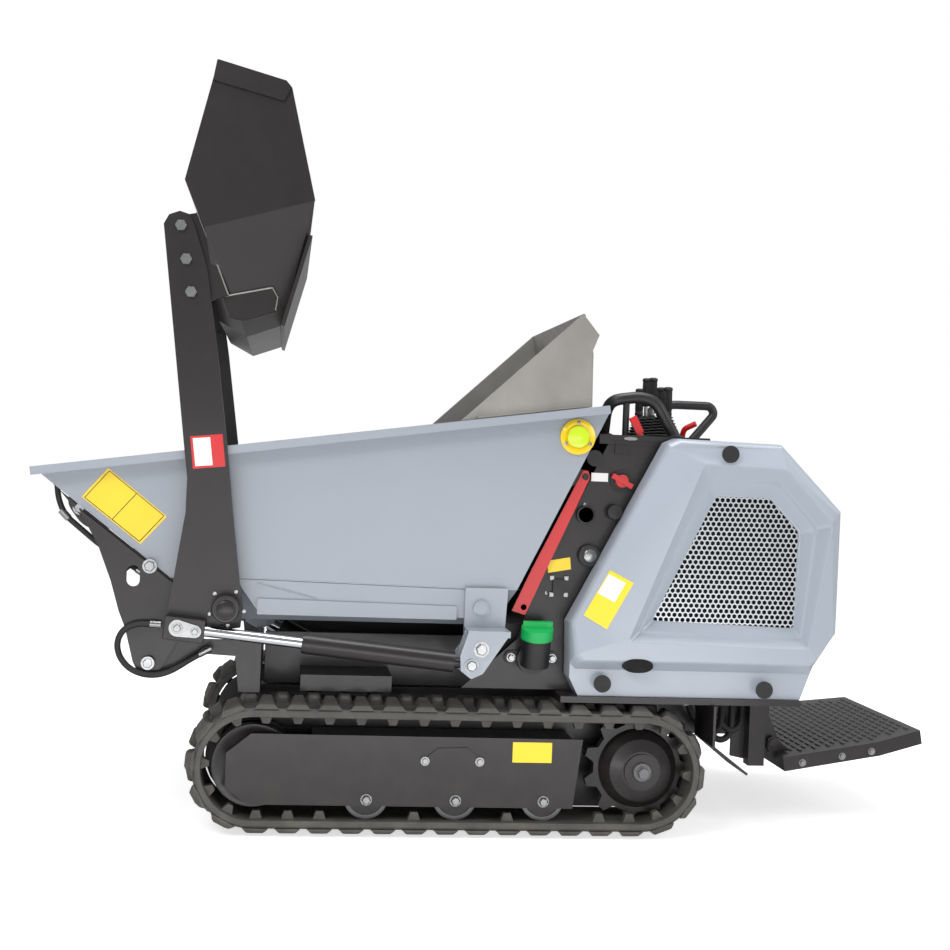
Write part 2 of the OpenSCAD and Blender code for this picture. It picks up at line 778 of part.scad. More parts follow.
module tipping_barrel() {
    color(steel_black) along_ram() difference() {
        union() {
            xcyl(20, 375, 30);
            translate([0, 28, 0]) rotate([90, 0, 0]) cylinder(r = 26, h = 56);
        }
        xcyl(34, 368, 24);
        xcyl(34, 380, 16.06);
        translate([0, 40, 0]) rotate([90, 0, 0]) cylinder(r = 12.06, h = 80);
    }
}

module tipping_rod() {
    color(chrome) along_ram() {
        xcyl(42, ram_len - 24, 16);
        xcyl(42, 62, 23.9);
    }
    color(steel_black) along_ram() difference() {
        translate([ram_len, 15, 0]) rotate([90, 0, 0]) cylinder(r = 24, h = 30);
        translate([ram_len, 40, 0]) rotate([90, 0, 0]) cylinder(r = 12.06, h = 80);
    }
}

// Short red lever on the left edge of the console
module throttle_lever() {
    color(zinc) translate([318, -322, console_top + 1]) cylinder(r = 8, h = 6);
    color(red) translate([318, -322, console_top + 7]) rotate([0, -28, 0]) translate([-9, -5, 0])
        cube([18, 10, 42]);
}

// Battery isolator key
module isolator_key() {
    color(red) translate([271, -console_y - 4 - gap, 817]) rotate([90, 28, 0]) {
        cylinder(r = 15, h = 12);
        translate([-27, -6, 4]) cube([54, 12, 12]);
    }
    color(red) ybar(271, 817, -console_y - 5, -console_y + 3, 5);
}

module fuel_cap() {
    color(green) translate([76, -console_y - 40, 385]) rotate([14, 0, 0]) translate([0, 0, 66 + gap]) {
        cylinder(r = 37, h = 26);
        translate([-34, -5, 26 - eps]) cube([68, 10, 14]);
    }
}

chassis_frame();
base_plate();
on(-1) track_frame();  // left_track_frame
on(1) track_frame();  // right_track_frame
on(-1) track_cover();  // left_track_cover
on(1) track_cover();  // right_track_cover
on(-1) track_belt();  // left_track_belt
on(1) track_belt();  // right_track_belt
both() drive_motor();  // drive_motors
console_panels();
console_deck();
console_fittings();
on(-1) hood_side();  // hood_left
on(1) hood_side();  // hood_right
hood_rear_cover();
hood_grilles();
rubber_plugs();
engine();
loop_hoses();
hydraulic_tank();
fuel_tank();
battery();
fuel_filler_neck();
handlebars();
lever_boots();
platform_brackets();
on(-1) sprocket();  // left_sprocket
on(1) sprocket();  // right_sprocket
on(-1) idler();  // left_idler
on(1) idler();  // right_idler
on(-1) roller(roller_xs[0]);  // left_roller_1
on(-1) roller(roller_xs[1]);  // left_roller_2
on(-1) roller(roller_xs[2]);  // left_roller_3
on(1) roller(roller_xs[0]);  // right_roller_1
on(1) roller(roller_xs[1]);  // right_roller_2
on(1) roller(roller_xs[2]);  // right_roller_3
skip_tub();
skip_extension();
skip_brackets();
loader_subframe();
skip_reflectors();
safety_prop();
loader_arms();
bucket();
bucket_bolts();
on(-1) lift_barrel();  // left_lift_barrel
on(1) lift_barrel();  // right_lift_barrel
on(-1) lift_rod();  // left_lift_rod
on(1) lift_rod();  // right_lift_rod
tipping_barrel();
tipping_rod();
platform();
lever(0);  // lever_1
lever(1);  // lever_2
lever(2);  // lever_3
lever(3);  // lever_4
lever(4);  // lever_5
throttle_lever();
isolator_key();
fuel_cap();
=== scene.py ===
import bpy
import bmesh
import math
from mathutils import Matrix, Vector
from mathutils.geometry import tessellate_polygon, intersect_point_tri_2d


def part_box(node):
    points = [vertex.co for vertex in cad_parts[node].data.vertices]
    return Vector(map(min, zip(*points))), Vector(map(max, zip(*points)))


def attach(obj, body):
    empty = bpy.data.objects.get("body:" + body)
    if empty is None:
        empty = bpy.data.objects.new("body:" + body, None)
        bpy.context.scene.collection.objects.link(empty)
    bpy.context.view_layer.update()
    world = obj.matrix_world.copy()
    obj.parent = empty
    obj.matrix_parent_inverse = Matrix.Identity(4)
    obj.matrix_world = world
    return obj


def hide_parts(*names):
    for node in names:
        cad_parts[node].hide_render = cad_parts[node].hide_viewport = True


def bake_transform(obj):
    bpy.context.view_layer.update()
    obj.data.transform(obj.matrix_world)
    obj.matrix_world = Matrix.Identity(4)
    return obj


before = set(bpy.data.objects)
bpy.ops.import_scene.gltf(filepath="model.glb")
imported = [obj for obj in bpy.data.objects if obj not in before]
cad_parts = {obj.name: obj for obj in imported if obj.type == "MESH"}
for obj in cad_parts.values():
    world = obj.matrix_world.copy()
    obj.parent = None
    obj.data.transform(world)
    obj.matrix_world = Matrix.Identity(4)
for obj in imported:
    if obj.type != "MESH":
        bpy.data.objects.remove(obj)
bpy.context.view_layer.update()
scene = bpy.context.scene


# ---------- materials ----------
def srgb(r, g, b):
    f = lambda c: c / 12.92 if c <= 0.04045 else ((c + 0.055) / 1.055) ** 2.4
    return tuple(f(c / 255) for c in (r, g, b)) + (1,)


def material(name, color, rough, metal=0.0, coat=0.0, mottle=0.08, mottle_scale=6.0, grain=0.0,
             grain_scale=600.0, dust=0.0, dust_color=(150, 138, 120), dust_top=0.3, spec=0.5):
    """Principled finish with uneven tone, uneven gloss, fine grain and dust that thins out upwards."""
    m = bpy.data.materials.new("finish_" + name)
    m.use_nodes = True
    t = m.node_tree
    n, link = t.nodes, t.links.new
    p = n["Principled BSDF"]
    at = n.new("ShaderNodeTexCoord").outputs["Object"]

    def noise(scale, detail=5.0):
        x = n.new("ShaderNodeTexNoise")
        x.inputs["Scale"].default_value = scale
        x.inputs["Detail"].default_value = detail
        link(at, x.inputs["Vector"])
        return x.outputs["Fac"]

    def ranged(value, a, b, c, d):
        x = n.new("ShaderNodeMapRange")
        for k, s in zip(("From Min", "From Max", "To Min", "To Max"), (a, b, c, d)):
            x.inputs[k].default_value = s
        link(value, x.inputs["Value"])
        return x.outputs["Result"]

    def mix(fac, a, b):
        x = n.new("ShaderNodeMix")
        x.data_type = "RGBA"
        for value, socket in ((fac, x.inputs[0]), (a, x.inputs[6]), (b, x.inputs[7])):
            if hasattr(value, "is_output"):
                link(value, socket)
            else:
                socket.default_value = value
        return x.outputs[2]

    base = srgb(*color)
    low = tuple(c * (1 - mottle) for c in base[:3]) + (1,)
    high = tuple(min(1, c * (1 + mottle)) for c in base[:3]) + (1,)
    tone = mix(ranged(noise(mottle_scale), 0.3, 0.7, 0, 1), low, high)
    even = min(1, mottle * 4)
    gloss = ranged(noise(mottle_scale * 5), 0.3, 0.7,
                   rough * (1 - 0.3 * even), min(1, rough * (1 + 0.36 * even)))
    if dust:
        xyz = n.new("ShaderNodeSeparateXYZ")
        link(at, xyz.inputs[0])
        fall = ranged(xyz.outputs["Z"], 0, dust_top, 1, 0.12)
        many = n.new("ShaderNodeMath")
        many.operation = "MULTIPLY"
        link(fall, many.inputs[0])
        link(ranged(noise(22, 9), 0.42, 0.72, 0, dust), many.inputs[1])
        tone = mix(many.outputs[0], tone, srgb(*dust_color))
    link(tone, p.inputs["Base Color"])
    link(gloss, p.inputs["Roughness"])
    p.inputs["Metallic"].default_value = metal
    p.inputs["Coat Weight"].default_value = coat
    p.inputs["Coat Roughness"].default_value = 0.12
    p.inputs["Specular IOR Level"].default_value = spec
    if grain:
        bump = n.new("ShaderNodeBump")
        bump.inputs["Strength"].default_value = grain
        bump.inputs["Distance"].default_value = 0.0006
        link(noise(grain_scale, 3), bump.inputs["Height"])
        link(bump.outputs[0], p.inputs["Normal"])
    return m


FINISH = {
    "black_paint": material("black_paint", (34, 30, 31), 0.34, coat=0.12, mottle=0.05,
                            grain=0.12, grain_scale=420, dust=0.05, spec=0.4),
    "blue_grey_paint": material("blue_grey_paint", (149, 156, 166), 0.28, coat=0.3,
                                mottle=0.015, grain=0.02, grain_scale=260),
    "track_rubber": material("track_rubber", (74, 72, 69), 0.55, mottle=0.16, mottle_scale=14,
                             grain=0.5, grain_scale=300, dust=0.2,
                             dust_color=(140, 134, 122), spec=0.4),
    "zinc_plate": material("zinc_plate", (150, 151, 152), 0.27, metal=1, mottle=0.1,
                           mottle_scale=40),
    "chrome_rod": material("chrome_rod", (196, 198, 202), 0.08, metal=1, mottle=0.02),
    "bare_steel": material("bare_steel", (160, 157, 152), 0.42, metal=0.85, mottle=0.12,
                           mottle_scale=9, grain=0.1),
    "cast_grey": material("cast_grey", (112, 112, 114), 0.5, metal=0.6, mottle=0.15,
                          grain=0.4, grain_scale=220),
    "moulded_hood": material("moulded_hood", (161, 169, 180), 0.3, mottle=0.012,
                             grain=0.015, grain_scale=340, coat=0.25),
    "black_plastic": material("black_plastic", (28, 28, 30), 0.42, grain=0.25,
                              grain_scale=500),
    "black_rubber": material("black_rubber", (30, 29, 29), 0.62, mottle=0.12, grain=0.3,
                             grain_scale=320),
    "red_paint": material("red_paint", (200, 16, 22), 0.32, coat=0.3, mottle=0.04),
    "yellow_reflector": material("yellow_reflector", (250, 212, 10), 0.34, coat=0.3,
                                 mottle=0.03),
    "green_cap": material("green_cap", (16, 168, 84), 0.36, mottle=0.04, grain=0.15),
    "mesh_steel": material("mesh_steel", (205, 208, 212), 0.34, metal=0.7, mottle=0.06),
}
# looks-only finishes, which no CAD node has
LIME = material("lime_lens", (206, 236, 34), 0.16, coat=0.6, mottle=0.05, grain=0.6,
                grain_scale=240)
WHITE = material("white_label", (238, 238, 236), 0.4, mottle=0.015)
# painted shade: a near-black matte fill that stands for the shade inside the openings, behind the hood
# screens and in the hood ports
SHADE_FILL = material("dark_liner", (14, 14, 15), 0.9, mottle=0.1)
SIDES = (("left", -1), ("right", 1))


# ---------- mesh building, in millimetres ----------
class Part:
    """Vertices and faces gathered in millimetres, then made into one piece."""

    def __init__(self):
        self.v, self.f = [], []

    def add(self, v, f):
        k = len(self.v)
        self.v += [tuple(p) for p in v]
        self.f += [tuple(i + k for i in q) for q in f]
        return self

    def rings(self, rings, cap=True, closed=False):
        n = len(rings[0])
        f = [(i * n + k, i * n + (k + 1) % n, (i + 1) * n + (k + 1) % n, (i + 1) * n + k)
             for i in range(len(rings) - 1) for k in range(n)]
        if closed:
            last = (len(rings) - 1) * n
            f += [(last + k, last + (k + 1) % n, (k + 1) % n, k) for k in range(n)]
        elif cap:
            f += [tuple(range(n)), tuple(range((len(rings) - 1) * n, len(rings) * n))]
        return self.add([p for r in rings for p in r], f)

    def prism(self, pts, y0, y1):
        return self.rings([[(x, y, z) for x, z in pts] for y in (y0, y1)])

    def box(self, lo, hi):
        return self.prism([(lo[0], lo[2]), (hi[0], lo[2]), (hi[0], hi[2]), (lo[0], hi[2])],
                          lo[1], hi[1])

    def lathe(self, prof, at, axis=(0, -1, 0), n=40, flute=0.0, flutes=0):
        """Turn (radius, height) pairs about an axis; flutes cut grooves along it."""
        w = Vector(axis).normalized()
        u = w.orthogonal().normalized()
        v = w.cross(u)
        rings = []
        for r, h in prof:
            ring = []
            for k in range(n):
                a = 2 * math.pi * k / n
                s = r - flute * (0.5 + 0.5 * math.cos(flutes * a)) if flutes else r
                ring.append(Vector(at) + w * h + (u * math.cos(a) + v * math.sin(a)) * max(s, 0.01))
            rings.append(ring)
        return self.rings(rings)

    def tube(self, pts, r, n=16, turn=0.0):
        """Round bar along the points; turn rounds its corners off."""
        pts = [Vector(p) for p in pts]
        if turn:
            new = [pts[0]]
            for a, b, c in zip(pts, pts[1:], pts[2:]):
                d = min(turn, (b - a).length * 0.48, (c - b).length * 0.48)
                p, q = b + (a - b).normalized() * d, b + (c - b).normalized() * d
                new += [p.lerp(b, t).lerp(b.lerp(q, t), t)
                        for t in (0, .14, .29, .43, .57, .71, .86, 1)]
            pts = new + [pts[-1]]
        rings, u = [], None
        for i, p in enumerate(pts):
            t = (pts[min(i + 1, len(pts) - 1)] - pts[max(i - 1, 0)]).normalized()
            u = (t.orthogonal() if u is None else u - t * u.dot(t)).normalized()
            v = t.cross(u)
            rings.append([p + (u * math.cos(2 * math.pi * k / n)
                               + v * math.sin(2 * math.pi * k / n)) * r for k in range(n)])
        return self.rings(rings)

    def bolt(self, x, y, z, r=8, h=6, side=-1):
        """Hex head on a washer, its back face at y."""
        self.lathe([(r * 1.35, 0), (r * 1.35, 1.6)], (x, y, z), (0, side, 0), 28)
        self.lathe([(r, 1.6), (r, 1.6 + h * 0.8), (r * 0.86, 1.6 + h)], (x, y, z), (0, side, 0), 6)
        return self

    def mirror(self):
        """Add the same shape on the machine's other side."""
        return self.add([(x, -y, z) for x, y, z in self.v], list(self.f))

    def flip(self, k):
        """Move a shape drawn for the left side to side k."""
        if k > 0:
            self.v = [(x, -y, z) for x, y, z in self.v]
        return self

    def make(self, name, finish, body="root", bevel=0.0, replaces=(), smooth=35, weld=0.01):
        mesh = bpy.data.meshes.new(name)
        mesh.from_pydata([(x / 1000, y / 1000, z / 1000) for x, y, z in self.v], [], self.f)
        bm = bmesh.new()
        bm.from_mesh(mesh)
        bmesh.ops.remove_doubles(bm, verts=bm.verts, dist=weld / 1000)
        bmesh.ops.dissolve_degenerate(bm, dist=0.000005, edges=bm.edges)
        bmesh.ops.recalc_face_normals(bm, faces=bm.faces)
        bm.to_mesh(mesh)
        bm.free()
        mesh.polygons.foreach_set("use_smooth", [True] * len(mesh.polygons))
        mesh.set_sharp_from_angle(angle=math.radians(smooth))
        o = bpy.data.objects.new(name, mesh)
        scene.collection.objects.link(o)
        mesh.materials.append(FINISH[finish] if isinstance(finish, str) else finish)
        if bevel:
            soften(o, bevel)
        if body:
            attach(o, body)
        for node in replaces:
            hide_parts(node)
        return o


def soften(o, width, angle=32):
    b = o.modifiers.new("edges", "BEVEL")
    b.width = width / 1000
    b.segments = 2
    b.limit_method = "ANGLE"
    b.angle_limit = math.radians(angle)
    b.harden_normals = True


# ---------- the CAD nodes ----------
EDGE = {"left_track_belt": 2.2, "right_track_belt": 2.2, "skip_tub": 1.6, "bucket": 1.2,
        "loader_arms": 1.2, "isolator_key": 0.8, "bucket_bolts": 0.6, "console_fittings": 0.7,
        "throttle_lever": 1.2, "fuel_cap": 2.5, "left_sprocket": 1.5, "right_sprocket": 1.5,
        "rubber_plugs": 1.5}
EDGE_ELSEWHERE = 1.0
for name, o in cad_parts.items():
    for s in o.material_slots:
        key = s.material.name.split(".")[0] if s.material else "black_paint"
        s.material = FINISH.get(key, FINISH["black_paint"])
    soften(o, EDGE.get(name, EDGE_ELSEWHERE))

# ---------- engine hood: moulded side shells ----------
MID = (465, 600)
HOOD_Y = -455          # outermost face
HOOD_BACK = -357       # where the shell meets the console
HOOD_SPLIT_X = 486.2   # behind this the shell closes towards the middle
HOOD_REAR_BACK = -150


def scaled(pts, k, mid=MID):
    return [(mid[0] + (x - mid[0]) * k, mid[1] + (z - mid[1]) * k) for x, z in pts]


HOOD_TOP = [(783, 478), (784, 765), (634, 916), (486.5, 918.8), (486, 919), (388, 921),
            (363, 910), (147, 489)]
HOOD_LOW = [(150, 364), (172, 322.5), (486, 322.5), (486.5, 322.5), (698, 322.5), (731, 416)]


def hood_ring(y, k, low, inner=False, low_y=None):
    """One ring of the shell: its upper outline shrunk by k, with a lower edge of its own."""
    out = [(x, y, z) for x, z in scaled(HOOD_TOP, k)]
    out += [(x, y if low_y is None else low_y, z) for x, z in low]
    if inner:
        return [(x, HOOD_BACK if x < HOOD_SPLIT_X else HOOD_REAR_BACK, z) for x, _, z in out]
    return out


def low_edge(z, inset):
    return [(150 + inset, z + 14), (162 + inset, z), (486, z), (486.5, z), (716 - inset * 0.4, z),
            (731 - inset * 0.5, max(z + 12, 416))]


shell = [hood_ring(0, 1, HOOD_LOW, True), hood_ring(-405, 1, HOOD_LOW),
         hood_ring(-412, 0.999, HOOD_LOW, low_y=-428)]
for y, k, z, inset, low_y in ((-417, 0.996, 384, 0, -429.5), (-422, 0.991, 394, 3, -440),
                              (-426, 0.984, 401, 6, -448), (-429, 0.975, 405, 10, -452.5),
                              (-431, 0.965, 409, 15, -454.5)):
    shell.append(hood_ring(y, k, low_edge(z, inset), low_y=low_y))
RIDGE = [(439, 866), (637, 860), (754, 737), (704, 441), (275, 448)]
OPEN = [(484, 790), (613, 790), (686, 714), (683, 487), (343, 497)]


def rounded(pts, r, steps=5):
    out = []
    for i, b in enumerate(pts):
        a, c = pts[i - 1], pts[(i + 1) % len(pts)]
        p = [b[j] + (a[j] - b[j]) * min(0.4, r / math.dist(a, b)) for j in (0, 1)]
        q = [b[j] + (c[j] - b[j]) * min(0.4, r / math.dist(c, b)) for j in (0, 1)]
        for s in range(steps + 1):
            t = s / steps
            out.append(tuple((1 - t) ** 2 * p[j] + 2 * t * (1 - t) * b[j] + t * t * q[j] for j in (0, 1)))
    return out


def middle(pts):
    return sum(p[0] for p in pts) / len(pts), sum(p[1] for p in pts) / len(pts)


def lerp_pts(a, b, t):
    return [(p[0] + (q[0] - p[0]) * t, p[1] + (q[1] - p[1]) * t) for p, q in zip(a, b)]


def oval(cx, cz, rx, rz, n=28):
    return [(cx + rx * math.copysign(abs(math.cos(a)) ** 0.8, math.cos(a)), cz + rz * math.sin(a))
            for a in (2 * math.pi * k / n for k in range(n))]


CELL, WEB = 13.0, 3.2              # honeycomb pitch and the metal between its openings
ROW = CELL * 0.866
SCREEN_X, SCREEN_Z, SCREEN_HIGH, SCREEN_COLUMNS = 325, 478, 330, 30
OPEN_MID = middle(OPEN)
ridge, opening = rounded(RIDGE, 12, 3), rounded(OPEN, 9, 3)
# how far from the ridge to the opening, and at what depth
FALL = ((0.05, -455), (0.1, -452.5), (0.4, -434), (0.46, -432), (0.56, -431.5), (0.62, -429.5),
        (0.94, -412.5))

for side, k in SIDES:
    h = Part()
    h.rings(shell, cap=False)
    loops = [[Vector((p[0], p[2], 0)) for p in shell[-1]],
             [Vector((x, z, 0)) for x, z in ridge]]
    flat = [p for lp in loops for p in lp]
    high = [p[1] for p in shell[-1]] + [HOOD_Y] * len(ridge)
    h.add([(p.x, y, p.y) for p, y in zip(flat, high)], tessellate_polygon(loops))
    steps = [(ridge, HOOD_Y)] + [(lerp_pts(ridge, opening, t), y) for t, y in FALL]
    steps += [(opening, -411), (scaled(opening, 0.995, OPEN_MID), -405)]
    h.rings([[(x, y, z) for x, z in pts] for pts, y in steps], cap=False)
    h.flip(k).make("hood_shell_" + side, "moulded_hood", smooth=16, replaces=["hood_" + side])
    # honeycomb screen behind the opening
    g = Part()
    edge = scaled(opening, 1.05, OPEN_MID)
    fan = [(Vector(OPEN_MID), Vector(edge[i]), Vector(edge[(i + 1) % len(edge)]))
           for i in range(len(edge))]
    for j in range(int(SCREEN_HIGH / ROW) + 2):
        for i in range(SCREEN_COLUMNS):
            cx, cz = SCREEN_X + CELL * (i + 0.5 * (j % 2)), SCREEN_Z + j * CELL * 0.866
            if not any(intersect_point_tri_2d(Vector((cx, cz)), *tri) for tri in fan):
                continue
            hole, rim = CELL * 0.577 - WEB * 0.58, CELL * 0.577 + 0.02
            g.rings([[(cx + r * math.sin(a), y, cz + r * math.cos(a))
                      for a in (math.pi / 3 * s for s in range(6))]
                     for r, y in ((hole, -408.5), (rim, -408.5), (rim, -406.5), (hole, -406.5))],
                    cap=False, closed=True)
    g.flip(k).make("hex_screen_" + side, "mesh_steel", weld=0,
                   replaces=["hood_grilles"] if k < 0 else [])
    # painted shade: a near-black sheet behind the screen that stands for the dark inside of the hood
    shade_sheet = Part().prism(scaled(OPEN, 1.08, OPEN_MID), -392, -389)
    shade_sheet.flip(k).make("screen_liner_" + side, SHADE_FILL)

# ---------- hand levers, bellows and handlebars ----------
LEVER_X, DECK = 412, 925
PIVOT_Z = 899
UP = (0, 0, 1)
LEVERS = [(110, 1058), (32, 1082), (-40, 1080), (-128, 1052), (-200, 1050)]
for i, (y, z) in enumerate(LEVERS):
    body = f"lever_{i + 1}_body"
    Part().lathe([(5, 0), (5, z - 60 - PIVOT_Z)], (LEVER_X, y, PIVOT_Z), UP, 20).make(
        f"lever_rod_{i + 1}", "zinc_plate", body)
    grip = Part()
    foot = (LEVER_X, y, z - 74)
    grip.lathe([(8, 0), (10.6, 2), (11.2, 8), (10.4, 11), (10.4, 14)], foot, UP, 48)
    grip.lathe([(9.6, 14), (10.9, 17), (10.4, 62), (9.4, 66)], foot, UP, 120, 1.3, 20)
    grip.lathe([(10.2, 65), (11.4, 67), (11.4, 70.5), (9.6, 73.4), (5, 74.8), (0, 75)],
               (LEVER_X, y, z - 75), UP, 48)
    grip.make(f"lever_grip_{i + 1}", "black_rubber", body, smooth=50,
              replaces=[f"lever_{i + 1}"])
    prof = [(36, 0), (36, 2)]
    for k in range(7):
        r, h = 34 - 3.2 * k, 2 + k * 7.4
        prof += [(r - 6, h), (r, h + 2.6), (r, h + 4), (r - 6, h + 7)]
    prof += [(9.5, 54), (9, 58), (6.4, 59)]
    boot = Part().lathe(prof, (LEVER_X, y, DECK), UP, 48).make(
        f"bellows_{i + 1}", "black_rubber", None, smooth=30,
        replaces=[] if i else ["lever_boots"])
    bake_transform(boot)

BAR_FOOT_Z = 926
bars = Part()
bars.tube([(408, -300, DECK), (358, -300, 1008), (318, -300, 1018), (254, -300, 1008),
           (246, -264, 985), (246, -240, DECK)], 14, 24, 26)
bars.tube([(287, -300, DECK), (287, -300, 1008)], 8, 20)
bars.tube([(606, 300, BAR_FOOT_Z), (670, 300, 1004), (658, 300, 1026), (548, 300, 1026),
           (490, 300, 1012), (466, 300, BAR_FOOT_Z)], 12, 24, 18)
for x, y in ((408, -300), (246, -240), (606, 300), (466, 300)):
    bars.lathe([(22, 0), (22, 3), (17, 5)], (x, y, DECK if y < 0 else BAR_FOOT_Z), UP, 32)
bars.make("grab_bars", "black_plastic", smooth=40, replaces=["handlebars"])
handle = Part().tube([(450, -205, 926), (452, -212, 948), (478, -226, 962)], 7, 14, 10)
handle.make("deck_red_handle", "red_paint", smooth=50)
Part().box((480.6, 284, 919), (622, 316, 925.5)).make("far_bar_foot", "black_paint", bevel=1)

# ---------- hoses that loop round the tipping pivot ----------
HOSE_R, FERRULE_R = 7, 8.6
ROUTE = [(-776, -401, 459), (-800, -402, 460), (-828, -402.5, 459), (-852, -403, 449),
         (-866, -403, 430), (-869, -403, 406), (-860, -403, 381), (-840, -403, 360),
         (-811, -403, 348), (-781, -403, 347), (-754, -403, 355), (-731, -403, 368),
         (-710, -403, 382), (-688, -402, 395), (-668, -400, 407)]


def curve_through(pts, k=6):
    """A smooth curve through the points, k steps between each two."""
    pts = [Vector(p) for p in pts]
    out = []
    for i in range(len(pts) - 1):
        a, b, c, d = pts[max(i - 1, 0)], pts[i], pts[i + 1], pts[min(i + 2, len(pts) - 1)]
        for s in range(k):
            t = s / k
            out.append(0.5 * (2 * b + (c - a) * t + (2 * a - 5 * b + 4 * c - d) * t * t
                              + (3 * b - a - 3 * c + d) * t ** 3))
    return out + [pts[-1]]


hose = Part().tube(curve_through(ROUTE), HOSE_R, 18).mirror().make(
    "loop_hose_pair", "black_rubber", None, smooth=50, replaces=["loop_hoses"])
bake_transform(hose)
for body, run in (("skip", ROUTE[0:2]), ("root", [(-690, -402.2, 394.8), (-664, -399.6, 409.2)])):
    Part().tube(run, FERRULE_R, 18).mirror().make("ferrules_" + body, "zinc_plate", body,
                                                  smooth=50)

# ---------- riding platform treads ----------
STEP_X, STEP_Z = 690, 162                     # front edge of the step
STEP_TILT = math.radians(9.9)
STEP_COS, STEP_SIN = math.cos(STEP_TILT), math.sin(STEP_TILT)
TREAD_ROWS, ROW_PITCH, BAR_PITCH, BAR_HALF = 19, 18.2, 44, 15
BAR = ((-4, -15, -1), (4, -15, -1), (4, 15, -1), (-4, 15, -1),
       (-1.8, -12, 3), (1.8, -12, 3), (1.8, 12, 3), (-1.8, 12, 3))
BAR_FACES = [(0, 1, 5, 4), (1, 2, 6, 5), (2, 3, 7, 6), (3, 0, 4, 7), (4, 5, 6, 7), (3, 2, 1, 0)]
tread = Part()
for i in range(TREAD_ROWS):
    u = 34 + i * ROW_PITCH
    half = 288 if u < 250 else 288 - (u - 250) * 0.36     # the step narrows at its rear
    bars_out = int(half // BAR_PITCH)
    for k in range(-bars_out, bars_out + 1):
        y = k * BAR_PITCH + (BAR_PITCH // 2 if i % 2 else 0)
        if abs(y) + BAR_HALF > half:
            continue
        tread.add([(STEP_X + (u + du) * STEP_COS - h * STEP_SIN, y + dy,
                    STEP_Z + (u + du) * STEP_SIN + h * STEP_COS) for du, dy, h in BAR],
                  BAR_FACES)
tread.make("step_treads", "black_paint", "step", bevel=0.6)

# ---------- tracks: belts with tapered lugs, guide horns, idlers ----------
IX, SX, AZ = -560, 325, 152      # idler's and sprocket's places, and their height
RUN, LINKS = 885, 36             # straight run between them, lugs round the loop
PITCH = 2 * RUN / 25
ROUND = 11 * PITCH / 2
BELT_IN = 115                    # inner face, from the wheel centres
TRACK_Y = 381
ROLLERS, ROLLER_Z = (-306, -105, 96), 87.3
LUG_LEAN = 0.36                  # share of a pitch that the outer lugs lead by


def loop_point(s, off, y):
    """Point off from the wheel centres, s along the belt from below the sprocket."""
    s %= LINKS * PITCH
    if s < RUN:
        return (SX - s, y, AZ - off)
    if s < RUN + ROUND:
        a = math.radians(270 - (s - RUN) / ROUND * 180)
        return (IX + off * math.cos(a), y, AZ + off * math.sin(a))
    if s < 2 * RUN + ROUND:
        return (IX + s - RUN - ROUND, y, AZ + off)
    a = math.radians(90 - (s - 2 * RUN - ROUND) / ROUND * 180)
    return (SX + off * math.cos(a), y, AZ + off * math.sin(a))


BELT = [(BELT_IN, 292.5), (BELT_IN, 469.5), (116.5, 471), (126, 471), (129, 469), (134, 462),
        (134, 300), (129, 293), (126, 291), (116.5, 291)]
BELT_STEPS, GUARD_STEPS = 180, 90

for side, k in SIDES:
    belt = Part()
    belt.rings([[loop_point(i * LINKS * PITCH / BELT_STEPS, off, k * y) for off, y in BELT]
                for i in range(BELT_STEPS)], closed=True)
    for i in range(LINKS):
        for outer, inner, shift in ((469, 372, LUG_LEAN), (293, 390, 0.86)):
            c = (i + shift) * PITCH
            ring = []
            # the lug from the belt's edge inwards: place, height and half its length
            for y, h, half in ((outer, 3, 24), (outer * 0.965 + inner * 0.035, 9, 21),
                               (outer * 0.6 + inner * 0.4, 18, 15),
                               (outer * 0.08 + inner * 0.92, 18, 13), (inner, 12, 10)):
                ring.append([loop_point(s, off, k * y) for s, off in (
                    (c - half - 5, 133), (c - half, 134 + h * 0.75), (c - half + 4, 134 + h),
                    (c + half - 4, 134 + h), (c + half, 134 + h * 0.75), (c + half + 5, 133))])
            belt.rings(ring)
    belt.make("belt_" + side, "track_rubber", smooth=24, replaces=[side + "_track_belt"])
    horns = Part()
    for i in range(LINKS):
        c = (i + LUG_LEAN) * PITCH
        x, _, z = loop_point(c, BELT_IN, 0)
        if z < 60 and any(abs(x - r) < 72 for r in ROLLERS):
            continue                          # room for the rollers
        horns.rings([[loop_point(s, 116 - h, k * w) for s, w in (
            (c - a, y), (c + a, y), (c + a, y - 22), (c - a, y - 22))]
            for h, a, y in ((0, 15, 448), (19, 8, 446))])
    horns.make("guide_horns_" + side, "track_rubber", bevel=1.2)
    wheel = Part()
    for y in (430, 362):
        wheel.lathe([(34, 0), (40, 2), (80, 2), (84, 0), (93, 0), (93, 30), (84, 30), (80, 28),
                     (40, 28), (34, 30)], (IX, k * (y - 30), AZ), (0, k, 0), 72)
    wheel.lathe([(70, 0), (70, 10)], (IX, k * TRACK_Y - k * 5, AZ), (0, k, 0), 60)
    wheel.lathe([(34, 0), (34, 118)], (IX, k * 328, AZ), (0, k, 0), 48)
    wheel.make("idler_wheel_" + side, "black_paint", side + "_idler_body", bevel=1,
               replaces=[side + "_idler"])
    outline = [loop_point(i * LINKS * PITCH / GUARD_STEPS, 112, 0)[::2]
               for i in range(GUARD_STEPS)]
    Part().prism(outline, k * 299, k * 296).make("inner_guard_" + side, "black_paint")
    for i, x in enumerate(ROLLERS):
        rim = Part().lathe([(50.2, 0), (50.2, 3), (47, 4.5), (41, 4.5), (40, 1), (40, 0)],
                           (x, k * 440, ROLLER_Z), (0, k, 0), 56)
        rim.make(f"roller_rim_{side}_{i + 1}", "cast_grey", f"{side}_roller_{i + 1}_body",
                 smooth=40)

